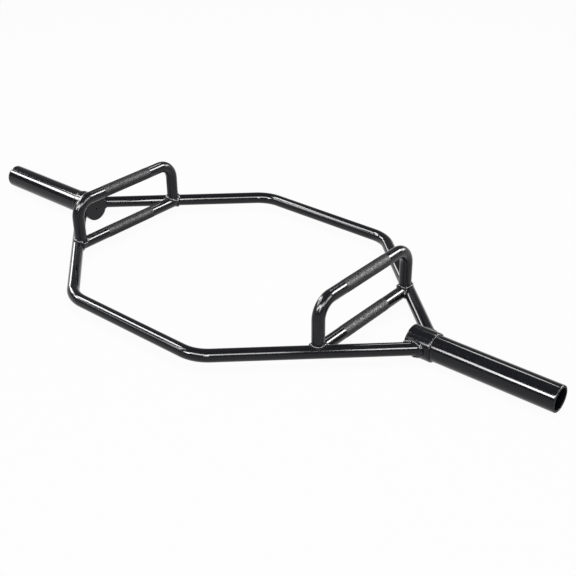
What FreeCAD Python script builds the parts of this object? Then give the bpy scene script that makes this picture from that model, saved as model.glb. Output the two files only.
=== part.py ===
import FreeCAD, Part
import math
import os

# Hex trap bar, in millimetres. X runs along the plate sleeves, Y across the hexagon, Z up.
# The origin is below the middle of the bar, on the floor that the hub collars touch.

overall_length = 1450.0          # from sleeve end to sleeve end
hub_spacing = 962.0              # between the two corners where the bar centrelines meet
side_length = 330.0              # between the theoretical corners of the front side
frame_width = 609.0              # over the front and the rear bar
frame_bar_diameter = 25.0
frame_bend_radius = 75.0         # on the centreline

sleeve_diameter = 50.0
sleeve_wall = 4.5
sleeve_edge_radius = 2.0
sleeve_mouth_chamfer = 1.0

hub_margin = 1.0                 # hub's inner face past the edge of the frame bar that lands on it
collar_wall = 3.55
collar_clearance = 0.1           # radial, between collar and sleeve spigot
spigot_step = 0.4                # radial, where the sleeve is turned down to enter the collar
end_disc_thickness = 5.0
end_disc_edge_chamfer = 0.6
vent_hole_diameter = 4.0

handle_spacing = 644.0           # between the left and the right handles
handle_undersize = 0.2           # handle bar is this much thinner than the frame bar
grip_height = 96.0               # raised grip above the low handle, axis to axis
grip_bend_radius = 35.0          # on the centreline
post_inset = 10.4                # post axis inside the frame bar's centreline, along Y
post_foot_height = 5.0           # lowest point of a coped post above the bar axis

hub_weld_leg = 4.0
handle_weld_leg = 3.5
collar_weld_length = 3.6
weld_split_height = 3.0          # low handle welds lie below this height over the axis, post welds above

frame_bar_radius = frame_bar_diameter / 2
handle_radius = (frame_bar_diameter - handle_undersize) / 2
sleeve_radius = sleeve_diameter / 2
sleeve_bore_radius = sleeve_radius - sleeve_wall
spigot_radius = sleeve_radius - spigot_step
collar_bore_radius = spigot_radius + collar_clearance
collar_radius = collar_bore_radius + collar_wall

axis_height = collar_radius
sleeve_end = overall_length / 2
hub_outer = hub_spacing / 2
side_corner = side_length / 2
side_offset = (frame_width - frame_bar_diameter) / 2
handle_position = handle_spacing / 2

# The slanted part of a frame bar: its rise along Y, where it lands on the hub and where it meets the handles
slant = side_offset / (hub_outer - side_corner)
landing_centre = hub_outer - collar_radius / slant
landing_half_length = frame_bar_radius * math.hypot(1, slant) / slant
hub_inner = landing_centre - landing_half_length - hub_margin
collar_inner = hub_inner + end_disc_thickness
sleeve_shoulder = hub_outer + collar_weld_length
handle_reach = slant * (hub_outer - handle_position)
post_offset = handle_reach - post_inset

along_x = FreeCAD.Vector(1, 0, 0)
along_y = FreeCAD.Vector(0, 1, 0)
origin = FreeCAD.Vector(0, 0, 0)


def place(x, y, height=0.0):
    # A point given by its height over the plane of the hexagon
    return FreeCAD.Vector(x, y, axis_height + height)


def round_bar(start, end, radius):
    run = end - start
    return Part.makeCylinder(radius, run.Length, start, run)


def bent_bar(corners, bend_radius, radius):
    pieces = []
    run_start = corners[0]
    for before, corner, after in zip(corners, corners[1:], corners[2:]):
        arriving = (corner - before).normalize()
        leaving = (after - corner).normalize()
        inward = (leaving - arriving).normalize()
        turn = arriving.getAngle(leaving)
        setback = bend_radius * math.tan(turn / 2)
        bend_start = corner - arriving * setback
        centre = corner + inward * (bend_radius / math.cos(turn / 2))
        section = Part.Face(Part.Wire(Part.makeCircle(radius, bend_start, arriving)))
        pieces.append(round_bar(run_start, bend_start, radius))
        pieces.append(section.revolve(centre, arriving.cross(leaving), math.degrees(turn)))
        run_start = corner + leaving * setback
    pieces.append(round_bar(run_start, corners[-1], radius))
    return pieces[0].multiFuse(pieces[1:]).removeSplitter()


def turned(outline):
    # A ring about the sleeve axis from an outline of (x, radius) points
    corners = [place(x, 0, radius) for x, radius in outline]
    face = Part.Face(Part.makePolygon(corners + corners[:1]))
    return face.revolve(place(0, 0), along_x, 360)


def largest(shape):
    return max(shape.Solids, key=lambda solid: solid.Volume)


def mirrored(shape, direction):
    return shape.mirror(origin, direction)


def save(name, shape):
    shape.exportStep("parts/" + name + ".step")


def save_left_and_right(name, shape):
    save("right_" + name, shape)
    save("left_" + name, mirrored(shape, along_x))


def save_at_four_corners(name, shape):
    sides = {"front": shape, "rear": mirrored(shape, along_y)}
    for side, weld in sides.items():
        save(side + "_right_" + name, weld)
        save(side + "_left_" + name, mirrored(weld, along_x))


os.makedirs("parts", exist_ok=True)

# Hubs and sleeves
hub_core = round_bar(place(hub_inner, 0), place(sleeve_end, 0), collar_radius)

collar = turned([
    (collar_inner, collar_bore_radius),
    (hub_outer, collar_bore_radius),
    (hub_outer, collar_radius),
    (collar_inner, collar_radius),
])
save_left_and_right("hub_collar", collar)

vent_hole_radius = vent_hole_diameter / 2
end_disc = turned([
    (hub_inner, vent_hole_radius),
    (collar_inner, vent_hole_radius),
    (collar_inner, collar_radius),
    (hub_inner + end_disc_edge_chamfer, collar_radius),
    (hub_inner, collar_radius - end_disc_edge_chamfer),
])
save_left_and_right("end_disc", end_disc)

sleeve_blank = turned([
    (collar_inner, sleeve_bore_radius),
    (sleeve_end - sleeve_mouth_chamfer, sleeve_bore_radius),
    (sleeve_end, sleeve_bore_radius + sleeve_mouth_chamfer),
    (sleeve_end, sleeve_radius),
    (sleeve_shoulder, sleeve_radius),
    (sleeve_shoulder, spigot_radius),
    (collar_inner, spigot_radius),
])
mouth = sleeve_end - sleeve_mouth_chamfer / 2
mouth_edges = [edge for edge in sleeve_blank.Edges if edge.Closed and edge.CenterOfMass.x > mouth]
outer_rim = max(mouth_edges, key=lambda edge: edge.Length)
sleeve = sleeve_blank.makeFillet(sleeve_edge_radius, [outer_rim])
save_left_and_right("sleeve", sleeve)

collar_weld = turned([
    (hub_outer, spigot_radius),
    (sleeve_shoulder, spigot_radius),
    (sleeve_shoulder, sleeve_radius),
    (hub_outer, collar_radius),
])
save_left_and_right("collar_weld", collar_weld)

# Frame bars
front_corners = [
    place(-hub_outer, 0),
    place(-side_corner, -side_offset),
    place(side_corner, -side_offset),
    place(hub_outer, 0),
]
whole_bar = bent_bar(front_corners, frame_bend_radius, frame_bar_radius)
both_hubs = Part.makeCompound([hub_core, mirrored(hub_core, along_x)])
front_bar = largest(whole_bar.cut(both_hubs))
rear_bar = mirrored(front_bar, along_y)
save("front_frame_bar", front_bar)
save("rear_frame_bar", rear_bar)

# Handles
handle_end = handle_reach + frame_bar_diameter
low_bar = round_bar(place(handle_position, -handle_end), place(handle_position, handle_end), handle_radius)
low_handle = largest(low_bar.cut(front_bar).cut(rear_bar))
save_left_and_right("low_handle", low_handle)

raised_corners = [
    place(handle_position, -post_offset, post_foot_height),
    place(handle_position, -post_offset, grip_height),
    place(handle_position, post_offset, grip_height),
    place(handle_position, post_offset, post_foot_height),
]
raised_bar = bent_bar(raised_corners, grip_bend_radius, handle_radius)
raised_handle = largest(raised_bar.cut(front_bar).cut(rear_bar).cut(low_handle))
save_left_and_right("raised_handle", raised_handle)

# Welds at the front right corner, each filling the angle between two bars
slant_start = place(side_corner, -side_offset)
slant_end = place(hub_outer, 0)
wide_slant = round_bar(slant_start, slant_end, frame_bar_radius + hub_weld_leg)
wide_hub = round_bar(place(hub_inner, 0), place(hub_outer, 0), collar_radius + hub_weld_leg)
hub_weld = largest(wide_slant.common(wide_hub).cut(hub_core).cut(front_bar))
save_at_four_corners("hub_weld", hub_weld)

padded_slant = round_bar(slant_start, slant_end, frame_bar_radius + handle_weld_leg)
padded_low = round_bar(
    place(handle_position, -handle_end),
    place(handle_position, 0),
    handle_radius + handle_weld_leg,
)
hexagon_half = [place(-hub_outer, 0), place(-side_corner, -side_offset), slant_start, slant_end]
below = FreeCAD.Vector(0, 0, -axis_height)
inside_floor = Part.Face(Part.makePolygon([corner + below for corner in hexagon_half + hexagon_half[:1]]))
inside_below = inside_floor.extrude(FreeCAD.Vector(0, 0, axis_height + weld_split_height))
low_weld = largest(padded_slant.common(padded_low).common(inside_below).cut(front_bar).cut(low_handle))
save_at_four_corners("low_handle_weld", low_weld)

post_sleeve = round_bar(
    place(handle_position, -post_offset, weld_split_height),
    place(handle_position, -post_offset, grip_height - grip_bend_radius),
    handle_radius + handle_weld_leg,
)
padded_corner = padded_slant.fuse(padded_low)
post_weld = largest(padded_corner.common(post_sleeve).cut(front_bar).cut(low_handle).cut(raised_handle))
save_at_four_corners("post_weld", post_weld)
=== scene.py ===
import math
import random
import bmesh
import bpy
from mathutils import Matrix, Vector


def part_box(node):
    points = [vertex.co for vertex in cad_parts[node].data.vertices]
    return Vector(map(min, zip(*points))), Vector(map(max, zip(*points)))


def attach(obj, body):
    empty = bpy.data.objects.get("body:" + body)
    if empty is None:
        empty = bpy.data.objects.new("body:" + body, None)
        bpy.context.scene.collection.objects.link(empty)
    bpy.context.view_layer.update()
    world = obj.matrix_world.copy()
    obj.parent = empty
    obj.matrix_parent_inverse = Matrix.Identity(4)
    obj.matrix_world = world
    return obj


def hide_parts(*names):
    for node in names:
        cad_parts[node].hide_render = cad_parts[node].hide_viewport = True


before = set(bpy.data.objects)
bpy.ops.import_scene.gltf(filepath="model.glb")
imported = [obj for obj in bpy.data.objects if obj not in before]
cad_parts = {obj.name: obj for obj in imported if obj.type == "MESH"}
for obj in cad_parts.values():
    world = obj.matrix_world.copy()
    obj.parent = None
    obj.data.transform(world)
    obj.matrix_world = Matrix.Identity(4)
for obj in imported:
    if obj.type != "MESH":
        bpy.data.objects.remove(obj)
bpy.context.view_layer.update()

# sizes that the solids already hold, in metres
collarLow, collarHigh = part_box("right_hub_collar")
sleeveLow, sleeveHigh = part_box("right_sleeve")
discLow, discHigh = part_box("right_end_disc")
barLow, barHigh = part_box("front_frame_bar")
lowHandleLow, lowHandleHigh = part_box("right_low_handle")
_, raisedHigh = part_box("right_raised_handle")

axisZ = (collarLow.z + collarHigh.z) / 2
collarRadius = (collarHigh.z - collarLow.z) / 2
sleeveRadius = (sleeveHigh.z - sleeveLow.z) / 2
barRadius = (barHigh.z - barLow.z) / 2
gripRadius = (lowHandleHigh.z - lowHandleLow.z) / 2
handleX = (lowHandleLow.x + lowHandleHigh.x) / 2
postY = raisedHigh.y - gripRadius
gripZ = raisedHigh.z - gripRadius

alongX = Vector((1, 0, 0))
alongY = Vector((0, 1, 0))
upward = Vector((0, 0, 1))
quarterTurn = math.pi / 2
ends = {"right": 1, "left": -1}       # pieces are made at the right end, then flipped along X
sides = {"front": 1, "rear": -1}      # and at the front, then flipped along Y
mergeGap = 1e-6                       # points closer than this become one
rimGap = 1e-5                         # a rim is found to within this
crease = {"plain": 38, "weld": 60}    # edges that turn more degrees than this stay sharp

hexagon = {
    "hubCorner": 0.481,       # the slanted bars aim at this point of the sleeve axis
    "sideCorner": 0.165,
    "sideOffset": 0.292,
    "bend": 0.075,
    "bendSteps": 26,
    "around": 72,
    "sink": 0.0012,           # coped ends go this far into what they are welded to
}
hubPoint = Vector((hexagon["hubCorner"], 0, axisZ))
sidePoint = Vector((hexagon["sideCorner"], -hexagon["sideOffset"], axisZ))
slantHeading = (hubPoint - sidePoint).normalized()

# noise that the finishes share, and the levels of it that are put to use
grain = {
    "cloud": {"Detail": 4.0, "Roughness": 0.6},
    "rub": {"Detail": 6.0, "Roughness": 0.65},
    "patch": {"Detail": 5.0, "Roughness": 0.7},
    "peel": {"Detail": 3.0, "Roughness": 0.5},
    "turned": {"Detail": 3.0, "Roughness": 0.7},
}
levels = {"cloud": (0.3, 0.72), "rub": (0.35, 0.7), "patch": (0.36, 0.68)}


def addObject(name, data):
    thing = bpy.data.objects.new(name, data)
    bpy.context.scene.collection.objects.link(thing)
    return thing


def startPaint(name):
    paint = bpy.data.materials.new(name)
    paint.use_nodes = True
    tree = paint.node_tree
    tree.nodes.clear()

    def make(kind, operation=None, **inputs):
        node = tree.nodes.new(kind)
        if operation:
            node.operation = operation
        for socket, value in inputs.items():
            node.inputs[socket.replace("_", " ")].default_value = value
        return node
    return paint, make, tree.links.new


def paintFinish(name, look):
    paint, make, link = startPaint(name)
    out = make("ShaderNodeOutputMaterial")
    shader = make("ShaderNodeBsdfPrincipled", IOR=look["ior"])
    link(shader.outputs["BSDF"], out.inputs["Surface"])
    place = make("ShaderNodeTexCoord").outputs["Object"]

    def noise(kind, scale, vector=place):
        texture = make("ShaderNodeTexNoise", Scale=scale, **grain[kind])
        link(vector, texture.inputs["Vector"])
        return texture.outputs["Fac"]

    def ranged(level, low, high, **results):
        node = make("ShaderNodeMapRange", From_Min=low, From_Max=high, **results)
        link(level, node.inputs["Value"])
        return node.outputs["Result"]

    # thin and thick places in the paint
    tone = make("ShaderNodeValToRGB")
    for stop, level, shade in zip(tone.color_ramp.elements, levels["cloud"], (look["dark"], look["pale"])):
        stop.position = level
        stop.color = (*shade, 1)
    link(noise("cloud", look["cloudScale"]), tone.inputs["Fac"])
    colour = tone.outputs["Color"]

    # dust and rub marks that only the gloss shows
    shiny, dull = look["gloss"]
    gloss = ranged(noise("rub", look["rubScale"]), *levels["rub"], To_Min=shiny, To_Max=dull)
    link(gloss, shader.inputs["Roughness"])

    if "worn" in look:
        # knurl tips rubbed paler than the grooves between them
        height = make("ShaderNodeAttribute")
        height.attribute_name = "knurlHeight"
        tips = ranged(height.outputs["Fac"], look["wornFrom"], 1.0)
        patch = ranged(noise("patch", look["patchScale"]), *levels["patch"], To_Min=look["leastWorn"])
        amount = make("ShaderNodeMath", "MULTIPLY")
        link(tips, amount.inputs[0])
        link(patch, amount.inputs[1])
        rubbed = make("ShaderNodeMixRGB", Color2=(*look["worn"], 1))
        link(amount.outputs["Value"], rubbed.inputs["Fac"])
        link(colour, rubbed.inputs["Color1"])
        colour = rubbed.outputs["Color"]
    link(colour, shader.inputs["Base Color"])

    # faint orange peel of sprayed paint
    bump = make("ShaderNodeBump", Strength=look["peel"], Distance=look["peelDepth"])
    link(noise("peel", look["peelScale"]), bump.inputs["Height"])
    if "turned" in look:
        # tool marks that run round the sleeve
        stretch = make("ShaderNodeMapping", Scale=look["turned"])
        link(place, stretch.inputs["Vector"])
        rings = make("ShaderNodeBump", Strength=look["turnedMark"], Distance=look["peelDepth"])
        link(noise("turned", 1.0, stretch.outputs["Vector"]), rings.inputs["Height"])
        link(rings.outputs["Normal"], bump.inputs["Normal"])
    link(bump.outputs["Normal"], shader.inputs["Normal"])
    return paint


glossBlack = paintFinish("glossBlack", {
    "dark": (0.0058, 0.0061, 0.0084), "pale": (0.0100, 0.0105, 0.0143), "cloudScale": 24.0,
    "gloss": (0.07, 0.13), "rubScale": 90.0, "ior": 1.33,
    "peelScale": 220.0, "peel": 0.012, "peelDepth": 0.0006,
})
sleeveBlack = paintFinish("sleeveBlack", {
    "dark": (0.0052, 0.0055, 0.0076), "pale": (0.0094, 0.0098, 0.0135), "cloudScale": 20.0,
    "gloss": (0.06, 0.13), "rubScale": 80.0, "ior": 1.33,
    "peelScale": 220.0, "peel": 0.010, "peelDepth": 0.0006, "turned": (520.0, 5.0, 5.0), "turnedMark": 0.03,
})
mouthBlack = paintFinish("mouthBlack", {
    "dark": (0.0045, 0.0046, 0.0056), "pale": (0.0085, 0.0087, 0.0105), "cloudScale": 60.0,
    "gloss": (0.40, 0.60), "rubScale": 140.0, "ior": 1.20,
    "peelScale": 400.0, "peel": 0.03, "peelDepth": 0.0006,
})
gripBlack = paintFinish("gripBlack", {
    "dark": (0.0060, 0.0063, 0.0086), "pale": (0.0108, 0.0112, 0.0150), "cloudScale": 30.0,
    "gloss": (0.13, 0.21), "rubScale": 110.0, "ior": 1.33,
    "peelScale": 220.0, "peel": 0.012, "peelDepth": 0.0006,
})
knurlBlack = paintFinish("knurlBlack", {
    "dark": (0.006, 0.006, 0.008), "pale": (0.011, 0.011, 0.014), "cloudScale": 60.0,
    "gloss": (0.30, 0.70), "rubScale": 190.0, "ior": 1.28,
    "peelScale": 900.0, "peel": 0.10, "peelDepth": 0.0005,
    "worn": (0.022, 0.022, 0.025), "wornFrom": 0.55, "leastWorn": 0.1, "patchScale": 130.0,
})
weldBlack = paintFinish("weldBlack", {
    "dark": (0.0075, 0.0078, 0.0102), "pale": (0.0150, 0.0155, 0.0200), "cloudScale": 80.0,
    "gloss": (0.08, 0.18), "rubScale": 200.0, "ior": 1.33,
    "peelScale": 500.0, "peel": 0.03, "peelDepth": 0.0008,
})
print("finishes made")


def keepPiece(name, bm, finishes, node, sharpFrom=crease["plain"]):
    bmesh.ops.remove_doubles(bm, verts=bm.verts, dist=mergeGap)
    bmesh.ops.recalc_face_normals(bm, faces=bm.faces)
    mesh = bpy.data.meshes.new(name)
    bm.to_mesh(mesh)
    bm.free()
    mesh.shade_smooth()
    mesh.set_sharp_from_angle(angle=math.radians(sharpFrom))
    for finish in finishes:
        mesh.materials.append(finish)
    piece = addObject(name, mesh)
    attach(piece, "root")
    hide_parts(node)


def flipped(bm, x=1, y=1):
    bmesh.ops.scale(bm, vec=(x, y, 1), verts=bm.verts)
    return bm


def vertsIn(parts):
    return [part for part in parts if isinstance(part, bmesh.types.BMVert)]


def edgesOf(rim):
    inRim = set(rim)
    found = (edge for vert in rim for edge in vert.link_edges if edge.other_vert(vert) in inRim)
    return list(dict.fromkeys(found))


def vertsOf(edges):
    return list(dict.fromkeys(vert for edge in edges for vert in edge.verts))


def ringAt(bm, centre, heading, radius, around):
    turn = heading.to_track_quat("Z", "X").to_matrix().to_4x4()
    place = Matrix.Translation(centre) @ turn
    return edgesOf(bmesh.ops.create_circle(bm, radius=radius, segments=around, matrix=place)["verts"])


def runOn(bm, edges, move):
    rim = vertsIn(bmesh.ops.extrude_edge_only(bm, edges=edges)["geom"])
    bmesh.ops.translate(bm, verts=rim, vec=move)
    return edgesOf(rim)


def bendOn(bm, edges, centre, axis, turn, steps):
    rim = edges + vertsOf(edges)
    made = bmesh.ops.spin(bm, geom=rim, cent=centre, axis=axis, angle=turn, steps=steps)
    return edgesOf(vertsIn(made["geom_last"]))


def hitDistance(start, heading, point, axis, radius):
    # how far a line runs before it meets the side of a round bar
    across = heading - axis * heading.dot(axis)
    offset = (start - point) - axis * (start - point).dot(axis)
    a, b, c = across.dot(across), offset.dot(across), offset.dot(offset) - radius * radius
    inside = b * b - a * c
    return (-b - math.sqrt(inside)) / a if inside > 0 else None


def copeReach(start, heading, targets, longest):
    hits = [hitDistance(start, heading, *target) for target in targets]
    return min([hit for hit in hits if hit is not None] + [longest])


def copeEnd(bm, edges, heading, targets, longest, sink):
    for vert in vertsOf(edges):
        vert.co += heading * (copeReach(vert.co, heading, targets, longest) + sink)
    bmesh.ops.holes_fill(bm, edges=edges, sides=0)


def axisDistance(vert):
    return math.hypot(vert.co.y, vert.co.z - axisZ)


def turnedRing(outline, steps):
    # an outline of (x, radius) points spun about the sleeve axis
    bm = bmesh.new()
    corners = [bm.verts.new((x, 0, axisZ + radius)) for x, radius in outline]
    edges = [bm.edges.new(pair) for pair in zip(corners, corners[1:] + corners[:1])]
    bmesh.ops.spin(bm, geom=corners + edges, cent=(0, 0, axisZ), axis=alongX, angle=math.tau,
                   steps=steps, use_merge=True)
    bmesh.ops.remove_doubles(bm, verts=bm.verts, dist=mergeGap)
    bmesh.ops.recalc_face_normals(bm, faces=bm.faces)
    return bm


def softenRim(bm, x, radius, width, segments):
    # rounds the circular edge at this place
    near = [vert for vert in bm.verts if abs(vert.co.x - x) < rimGap]
    onRim = {vert for vert in near if abs(axisDistance(vert) - radius) < rimGap}
    picked = [edge for edge in bm.edges if onRim.issuperset(edge.verts)]
    bmesh.ops.bevel(bm, geom=picked, offset=width, offset_type="OFFSET", affect="EDGES",
                    segments=segments, profile=0.5, material=-1)


# sleeves, hub collars and the discs that close the hubs
# a guard is a short ring beside a rounded rim, which keeps the long face next to it shading true
sleeve = {"wall": 0.0045, "edge": 0.002, "edgeSteps": 6, "mouth": 0.001, "mouthSteps": 3, "guard": 0.004,
          "steps": 128}
collar = {"edge": 0.0006, "edgeSteps": 3, "guard": 0.0016, "steps": 128}
disc = {"hole": 0.002, "edge": 0.0012, "edgeSteps": 4, "holeEdge": 0.0005, "holeEdgeSteps": 2,
        "guard": 0.0024, "steps": 128}

for end, flip in ends.items():
    inner, outer = sleeveLow.x, sleeveHigh.x
    bore = sleeveRadius - sleeve["wall"]
    guard = outer - sleeve["guard"]
    bm = turnedRing([(inner, bore), (guard, bore), (outer, bore), (outer, sleeveRadius),
                     (guard, sleeveRadius), (inner, sleeveRadius)], sleeve["steps"])
    softenRim(bm, outer, sleeveRadius, sleeve["edge"], sleeve["edgeSteps"])
    softenRim(bm, outer, bore, sleeve["mouth"], sleeve["mouthSteps"])
    for face in bm.faces:
        widest = max(axisDistance(vert) for vert in face.verts)
        deepest = min(vert.co.x for vert in face.verts)
        if widest < sleeveRadius - sleeve["edge"] / 2 and deepest > outer - sleeve["edge"]:
            face.material_index = 1    # the cut end is matt
    keepPiece(end + "Sleeve", flipped(bm, flip), [sleeveBlack, mouthBlack], end + "_sleeve")

    inner, outer = collarLow.x, collarHigh.x
    guard = outer - collar["guard"]
    bm = turnedRing([(inner, sleeveRadius), (outer, sleeveRadius), (outer, collarRadius),
                     (guard, collarRadius), (inner, collarRadius)], collar["steps"])
    softenRim(bm, outer, collarRadius, collar["edge"], collar["edgeSteps"])
    keepPiece(end + "Collar", flipped(bm, flip), [glossBlack], end + "_hub_collar")

    inner, outer = discLow.x, discHigh.x
    guard = disc["guard"]
    bm = turnedRing([(inner, disc["hole"]), (outer, disc["hole"]), (outer, collarRadius),
                     (inner + guard, collarRadius), (inner, collarRadius), (inner, collarRadius - guard),
                     (inner, disc["hole"] + guard)], disc["steps"])
    softenRim(bm, inner, collarRadius, disc["edge"], disc["edgeSteps"])
    softenRim(bm, inner, disc["hole"], disc["holeEdge"], disc["holeEdgeSteps"])
    keepPiece(end + "EndDisc", flipped(bm, flip), [glossBlack], end + "_end_disc")
print("sleeves and hubs made")


bendGuard = 0.002             # short straight ring at both ends of a bend


def bentRun(bm, corners, bend, radius, around, bendSteps, straight=runOn):
    # a round bar along straight runs and bends, returns the open rims of both ends
    firstRim = ringAt(bm, corners[0], (corners[1] - corners[0]).normalized(), radius, around)
    rim = firstRim
    reached = corners[0]
    for before, corner, after in zip(corners, corners[1:], corners[2:]):
        arriving = (corner - before).normalized()
        leaving = (after - corner).normalized()
        turn = arriving.angle(leaving)
        setback = bend * math.tan(turn / 2)
        rim = straight(bm, rim, corner - arriving * (setback + bendGuard) - reached)
        rim = runOn(bm, rim, arriving * bendGuard)
        centre = corner + (leaving - arriving).normalized() * (bend / math.cos(turn / 2))
        rim = bendOn(bm, rim, centre, arriving.cross(leaving), turn, bendSteps)
        rim = runOn(bm, rim, leaving * bendGuard)
        reached = corner + leaving * (setback + bendGuard)
    return firstRim, straight(bm, rim, corners[-1] - reached)


hubTarget = (hubPoint, alongX, collarRadius)
startGap = 0.075              # rings start this far short of the hub corner, then are coped to the hub
hubStart = hubPoint - slantHeading * startGap
mirrorX = Matrix.Scale(-1, 3, alongX)
for side, flip in sides.items():
    bm = bmesh.new()
    corners = [mirrorX @ hubStart, mirrorX @ sidePoint, sidePoint, hubStart]
    leftRim, rightRim = bentRun(bm, corners, hexagon["bend"], barRadius, hexagon["around"],
                                hexagon["bendSteps"])
    copeEnd(bm, leftRim, mirrorX @ slantHeading, [hubTarget], startGap, hexagon["sink"])
    copeEnd(bm, rightRim, slantHeading, [hubTarget], startGap, hexagon["sink"])
    keepPiece(side + "FrameBar", flipped(bm, 1, flip), [glossBlack], side + "_frame_bar")
print("frame bars made")


# a knurled band sits in the middle of each grip
knurl = {
    "length": 0.132,
    "diamonds": 44,           # around the bar
    "pitch": 0.0030,          # along the bar
    "samples": 4,             # rings to one diamond
    "groove": -0.00016,
    "tip": 0.00020,
    "fade": 0.0030,           # the cut runs out over this length at both ends
    "guard": 0.0010,          # short plain ring at both ends
}
grip = {
    "around": knurl["diamonds"] * knurl["samples"],
    "bend": 0.035,
    "bendSteps": 18,
    "start": 0.110,           # low handles start this far from the middle and are coped to the frame bars
    "knee": 0.045,            # posts start this far over the axis and are coped down
    "foot": 0.005,
    "sink": 0.0012,
}
kneeZ = axisZ + grip["knee"]
slantTarget = (hubPoint, slantHeading, barRadius)
rearSlantTarget = (hubPoint, Vector((slantHeading.x, -slantHeading.y, 0)), barRadius)
lowTarget = (Vector((handleX, 0, axisZ)), alongY, gripRadius)
postReach = grip["knee"] - grip["foot"]


def zigzag(turns):
    return 1 - abs(2 * (turns % 1) - 1)


def gripRun(bm, edges, move):
    # a straight run that carries the knurl where it is long enough to
    if move.length < knurl["length"]:
        return runOn(bm, edges, move)
    heading = move.normalized()
    plain = heading * ((move.length - knurl["length"]) / 2 - knurl["guard"])
    guard = heading * knurl["guard"]
    nearRim = runOn(bm, runOn(bm, edges, plain), guard)
    farRim = runOn(bm, nearRim, heading * knurl["length"])
    edges = runOn(bm, runOn(bm, farRim, guard), plain)

    nearVerts, farVerts = vertsOf(nearRim), set(vertsOf(farRim))
    middle = sum((vert.co for vert in nearVerts), Vector()) / len(nearVerts)
    links = [(vert, edge) for vert in nearVerts for edge in vert.link_edges]
    lengthwise = [edge for vert, edge in links if edge.other_vert(vert) in farVerts]
    for face in {face for edge in lengthwise for face in edge.link_faces}:
        face.material_index = 1
    height = bm.verts.layers.float.get("knurlHeight") or bm.verts.layers.float.new("knurlHeight")
    rows = round(knurl["length"] / knurl["pitch"]) * knurl["samples"]
    made = bmesh.ops.subdivide_edges(bm, edges=lengthwise, cuts=rows - 1, use_grid_fill=True)
    sideways = heading.cross(upward)
    for vert in vertsIn(made["geom_inner"]):
        travelled = (vert.co - middle).dot(heading)
        spoke = (vert.co - middle - heading * travelled).normalized()
        turns = math.atan2(spoke.dot(sideways), spoke.dot(upward)) / math.tau * knurl["diamonds"]
        along = travelled / knurl["pitch"]
        raised = min(zigzag(turns + along), zigzag(turns - along))
        depth = min(1.0, travelled / knurl["fade"], (knurl["length"] - travelled) / knurl["fade"])
        vert.co += spoke * (knurl["groove"] + (knurl["tip"] - knurl["groove"]) * raised) * depth
        vert[height] = raised * depth
    return edges


gripFinishes = [gripBlack, knurlBlack]
for end, flip in ends.items():
    bm = bmesh.new()
    frontRim = ringAt(bm, Vector((handleX, -grip["start"], axisZ)), alongY, gripRadius, grip["around"])
    rearRim = gripRun(bm, frontRim, alongY * (2 * grip["start"]))
    copeEnd(bm, frontRim, -alongY, [slantTarget], grip["start"], grip["sink"])
    copeEnd(bm, rearRim, alongY, [rearSlantTarget], grip["start"], grip["sink"])
    keepPiece(end + "LowHandle", flipped(bm, flip), gripFinishes, end + "_low_handle")

    bm = bmesh.new()
    corners = [Vector((handleX, -postY, kneeZ)), Vector((handleX, -postY, gripZ)),
               Vector((handleX, postY, gripZ)), Vector((handleX, postY, kneeZ))]
    frontRim, rearRim = bentRun(bm, corners, grip["bend"], gripRadius, grip["around"],
                                grip["bendSteps"], gripRun)
    copeEnd(bm, frontRim, -upward, [slantTarget, lowTarget], postReach, grip["sink"])
    copeEnd(bm, rearRim, -upward, [rearSlantTarget, lowTarget], postReach, grip["sink"])
    keepPiece(end + "RaisedHandle", flipped(bm, flip), gripFinishes, end + "_raised_handle")
print("handles made")


# weld beads lie along the line where two pieces meet
weld = {
    "segments": 18,           # around the bead
    "perRipple": 8,           # sections to one ripple
    "leastRipples": 8,
    "ripple": 0.09,           # the bead is thinner by this share between two ripples
    "lean": 0.15,             # ripples bow forward by this share of their pitch
    "wander": 0.07,           # ripples differ in size by up to this share
    "jointSteps": 240,        # points along a joint
    "ring": 3,                # the plain ring that a bead starts as, in bead radii
    "firstSeed": 3,
}
# the hub bead stops a little behind the end disc's face
hubBead = {"radius": 0.0053, "pitch": 0.0060, "seed": 0, "stop": 0.0004}
lowBead = {"radius": 0.0034, "pitch": 0.0048, "seed": 20}
postBead = {"radius": 0.0047, "pitch": 0.0056, "seed": 40}
collarBead = {"radius": 0.0025, "pitch": 0.0044, "seed": 60, "x": 0.0006, "lift": 0.0003}


def circlePoints(centre, turn, radius):
    angles = [math.tau * step / weld["jointSteps"] for step in range(weld["jointSteps"])]
    flat = [Vector((radius * math.cos(angle), radius * math.sin(angle), 0)) for angle in angles]
    return [centre + turn @ point for point in flat]


def jointLine(centre, heading, radius, targets, longest):
    turn = heading.to_track_quat("Z", "X").to_matrix()
    starts = circlePoints(centre, turn, radius)
    return [start + heading * copeReach(start, heading, targets, longest) for start in starts]


def spreadEvenly(line, count):
    closed = line + line[:1]
    lengths = [0.0]
    for here, there in zip(closed, closed[1:]):
        lengths.append(lengths[-1] + (there - here).length)
    points, k = [], 0
    for step in range(count):
        wanted = lengths[-1] * step / count
        while lengths[k + 1] < wanted:
            k += 1
        share = (wanted - lengths[k]) / (lengths[k + 1] - lengths[k])
        points.append(closed[k].lerp(closed[k + 1], share))
    return points


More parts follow.
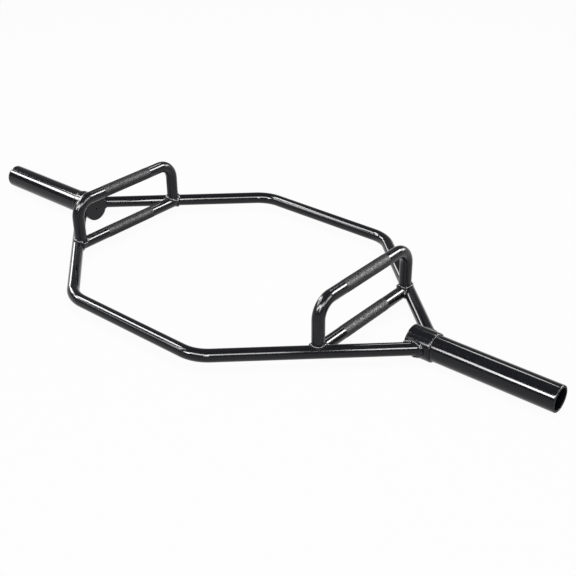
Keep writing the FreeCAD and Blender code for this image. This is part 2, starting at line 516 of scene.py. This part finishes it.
def layBead(line, bead, seed):
    radius, pitch = bead["radius"], bead["pitch"]
    length = sum((there - here).length for here, there in zip(line, line[1:] + line[:1]))
    ripples = max(weld["leastRipples"], round(length / pitch))
    count = ripples * weld["perRipple"]
    points = spreadEvenly(line, count)
    middle = sum(points, Vector()) / count
    draw = random.Random(seed + bead["seed"])
    swell = [1 + draw.uniform(-1, 1) * weld["wander"] for _ in range(ripples)]

    # a plain ring first, then each of its sections is carried to its place on the joint
    bm = bmesh.new()
    ringRadius = weld["ring"] * radius
    turn = Matrix.Translation((ringRadius, 0, 0)) @ Matrix.Rotation(quarterTurn, 4, "X")
    section = bmesh.ops.create_circle(bm, radius=radius, segments=weld["segments"], matrix=turn)["verts"]
    bmesh.ops.spin(bm, geom=section + edgesOf(section), cent=(0, 0, 0), axis=upward, angle=math.tau,
                   steps=count, use_merge=True)
    bmesh.ops.remove_doubles(bm, verts=bm.verts, dist=mergeGap)
    for vert in bm.verts:
        step = round(math.atan2(vert.co.y, vert.co.x) / math.tau * count) % count
        around = math.atan2(vert.co.z, math.hypot(vert.co.x, vert.co.y) - ringRadius)
        ahead = (points[(step + 1) % count] - points[step - 1]).normalized()
        outward = points[step] - middle
        outward = (outward - ahead * outward.dot(ahead)).normalized()
        upright = ahead.cross(outward)
        phase = step / weld["perRipple"]
        crest = abs(math.sin(math.pi * phase))
        size = radius * swell[int(phase) % ripples] * (1 - weld["ripple"] + weld["ripple"] * crest)
        lean = ahead * (pitch * weld["lean"] * math.cos(around))
        vert.co = points[step] + (outward * math.cos(around) + upright * math.sin(around)) * size + lean
    return bm


def keepWeld(name, bm, node):
    keepPiece(name, bm, [weldBlack], node, crease["weld"])


hubLine = jointLine(hubStart, slantHeading, barRadius, [hubTarget], startGap)
lowStart = Vector((handleX, -grip["start"], axisZ))
lowLine = jointLine(lowStart, -alongY, gripRadius, [slantTarget], grip["start"])
postStart = Vector((handleX, -postY, kneeZ))
postLine = jointLine(postStart, -upward, gripRadius, [slantTarget, lowTarget], postReach)
seed = weld["firstSeed"]
for side, flipY in sides.items():
    for end, flipX in ends.items():
        corner = side + "_" + end
        label = side + end.capitalize()
        bm = layBead(hubLine, hubBead, seed)
        for vert in bm.verts:
            vert.co.x = max(vert.co.x, discLow.x + hubBead["stop"])
        keepWeld(label + "HubWeld", flipped(bm, flipX, flipY), corner + "_hub_weld")
        bm = layBead(lowLine, lowBead, seed)
        keepWeld(label + "LowHandleWeld", flipped(bm, flipX, flipY), corner + "_low_handle_weld")
        bm = layBead(postLine, postBead, seed)
        keepWeld(label + "PostWeld", flipped(bm, flipX, flipY), corner + "_post_weld")
        seed += 1

collarCentre = Vector((collarHigh.x + collarBead["x"], 0, axisZ))
facingX = Matrix((upward, alongX, alongY))    # turns a flat circle so that it goes round the sleeve
collarLine = circlePoints(collarCentre, facingX, sleeveRadius + collarBead["lift"])
for end, flipX in ends.items():
    bm = layBead(collarLine, collarBead, seed)
    keepWeld(end + "CollarWeld", flipped(bm, flipX), end + "_collar_weld")
    seed += 1
print("welds laid")


# a pale studio: white floor with an upswept rim, grey surround, cards that the gloss mirrors
studio = {
    "floor": 14.0,
    "sweep": 1.6,             # radius of the upswept rim
    "sweepSteps": 12,
    "around": 96,
    "floorDrop": 0.0002,
    "floorTone": 0.82,
    "floorWhite": 0.95,
    "surround": 0.28,
    "cardDistance": 6.0,
}

bm = bmesh.new()
rim = ringAt(bm, Vector((0, 0, 0)), upward, studio["floor"], studio["around"])
bmesh.ops.holes_fill(bm, edges=rim, sides=0)
rimRadius = studio["floor"]
stride = studio["sweep"] * quarterTurn / studio["sweepSteps"]
for step in range(studio["sweepSteps"]):
    slope = quarterTurn * (step + 0.5) / studio["sweepSteps"]
    rim = runOn(bm, rim, upward * (stride * math.sin(slope)))
    wider = (rimRadius + stride * math.cos(slope)) / rimRadius
    bmesh.ops.scale(bm, vec=(wider, wider, 1), verts=vertsOf(rim))
    rimRadius *= wider
bmesh.ops.recalc_face_normals(bm, faces=bm.faces)
bmesh.ops.translate(bm, verts=bm.verts, vec=-upward * studio["floorDrop"])
floorMesh = bpy.data.meshes.new("floor")
bm.to_mesh(floorMesh)
bm.free()
floor = addObject("floor", floorMesh)


def paleFloor():
    # the camera, the gloss and anything clear see it white, the rest keeps the shadow
    paint, make, link = startPaint("paleFloor")
    out = make("ShaderNodeOutputMaterial")
    matt = make("ShaderNodeBsdfDiffuse", Color=(studio["floorTone"],) * 3 + (1,))
    white = make("ShaderNodeEmission", Strength=1.0)
    rays = make("ShaderNodeLightPath")
    seen = rays.outputs["Is Camera Ray"]
    for kind in ("Is Glossy Ray", "Is Transmission Ray"):
        either = make("ShaderNodeMath", "MAXIMUM")
        link(seen, either.inputs[0])
        link(rays.outputs[kind], either.inputs[1])
        seen = either.outputs["Value"]
    share = make("ShaderNodeMath", "MULTIPLY")
    share.inputs[1].default_value = studio["floorWhite"]
    link(seen, share.inputs[0])
    mix = make("ShaderNodeMixShader")
    link(share.outputs["Value"], mix.inputs["Fac"])
    link(matt.outputs["BSDF"], mix.inputs[1])
    link(white.outputs["Emission"], mix.inputs[2])
    link(mix.outputs["Shader"], out.inputs["Surface"])
    return paint


floorMesh.materials.append(paleFloor())

world = bpy.data.worlds.new("studioWorld")
bpy.context.scene.world = world
world.use_nodes = True
surround = world.node_tree.nodes["Background"]
surround.inputs["Color"].default_value = (1, 1, 1, 1)
surround.inputs["Strength"].default_value = studio["surround"]


def aimed(azimuth, elevation):
    # azimuth 0 is the front, +90 the right end
    a, e = math.radians(azimuth), math.radians(elevation)
    return Vector((math.sin(a) * math.cos(e), -math.cos(a) * math.cos(e), math.sin(e)))


def facing(outward, roll):
    turn = outward.to_track_quat("Z", "Y").to_matrix().to_4x4()
    return turn @ Matrix.Rotation(math.radians(roll), 4, "Z")


def softbox(name, azimuth, elevation, width, height, radiance,
            distance=studio["cardDistance"], roll=0, inGloss=True):
    # a card lights the gloss only, so the level on plain colours stays even
    lamp = bpy.data.lights.new(name, "AREA")
    lamp.shape = "RECTANGLE"
    lamp.size, lamp.size_y = width, height
    lamp.energy = radiance * width * height * math.pi
    box = addObject(name, lamp)
    outward = aimed(azimuth, elevation)
    box.matrix_world = Matrix.Translation(outward * distance) @ facing(outward, roll)
    box.visible_camera = False
    box.visible_diffuse = not inGloss
    box.visible_glossy = inGloss


# name, azimuth and elevation in degrees, then the size in metres and how bright it is
softbox("overhead", 0, 90, width=2.2, height=2.2, radiance=3.6, distance=3.2, inGloss=False)
softbox("fill", 40, 30, width=2.0, height=2.0, radiance=2.0, distance=3.0, inGloss=False)
softbox("frontCard", -17, 31.5, width=1.40, height=1.40, radiance=35.9)
softbox("frontRightCard", -13, 31.5, width=0.90, height=1.40, radiance=24.8)
softbox("frontLeftCard", -41, 28, width=1.50, height=1.20, radiance=6.21)
softbox("leftCard", -66, 32.5, width=1.50, height=1.00, radiance=40)
softbox("leftHighCard", -78, 47.5, width=1.50, height=1.50, radiance=40)
softbox("overLeftCard", -52, 47, width=5.60, height=1.20, radiance=27.6, distance=12.0, roll=-63)
softbox("rearCard", 145, 38, width=2.60, height=1.60, radiance=52.4, roll=-20)
softbox("cameraCard", 38.5, 40.5, width=1.35, height=1.70, radiance=24.8)
softbox("cameraLeftCard", 31.5, 31, width=1.00, height=2.40, radiance=31.7)
softbox("cameraRightCard", 59, 39.5, width=1.05, height=1.50, radiance=41.4)
softbox("leftLowCard", -103, 14, width=1.10, height=1.20, radiance=12.4)
softbox("rearLeftCard", -156, 48, width=0.90, height=0.90, radiance=16.6)
softbox("frontHighCard", 6, 42, width=3.20, height=1.50, radiance=33.1)
softbox("rightCard", 92, 32, width=2.20, height=0.50, radiance=19.3, distance=3.0)
softbox("rightHighCard", 104, 43, width=2.60, height=1.10, radiance=19.3)
softbox("leftSweepCard", -92, 27, width=1.90, height=1.30, radiance=24.8, roll=20)
softbox("rearLowCard", 156, 18, width=2.20, height=1.50, radiance=22.1)

view = {"azimuth": 40.111, "elevation": 30.067, "distance": 2.0153, "roll": -0.493,
        "aim": (0.1400, -0.0023), "lens": 63.945, "sensor": 36}
camera = bpy.data.cameras.new("photoCamera")
camera.sensor_fit = "HORIZONTAL"
camera.sensor_width = view["sensor"]
camera.lens = view["lens"]
cameraObject = addObject("photoCamera", camera)
backward = aimed(view["azimuth"], view["elevation"])
cameraPlace = Vector((*view["aim"], axisZ)) + backward * view["distance"]
cameraObject.matrix_world = Matrix.Translation(cameraPlace) @ facing(backward, view["roll"])
bpy.context.scene.camera = cameraObject
bpy.context.scene.view_settings.view_transform = "Standard"
print("studio set")
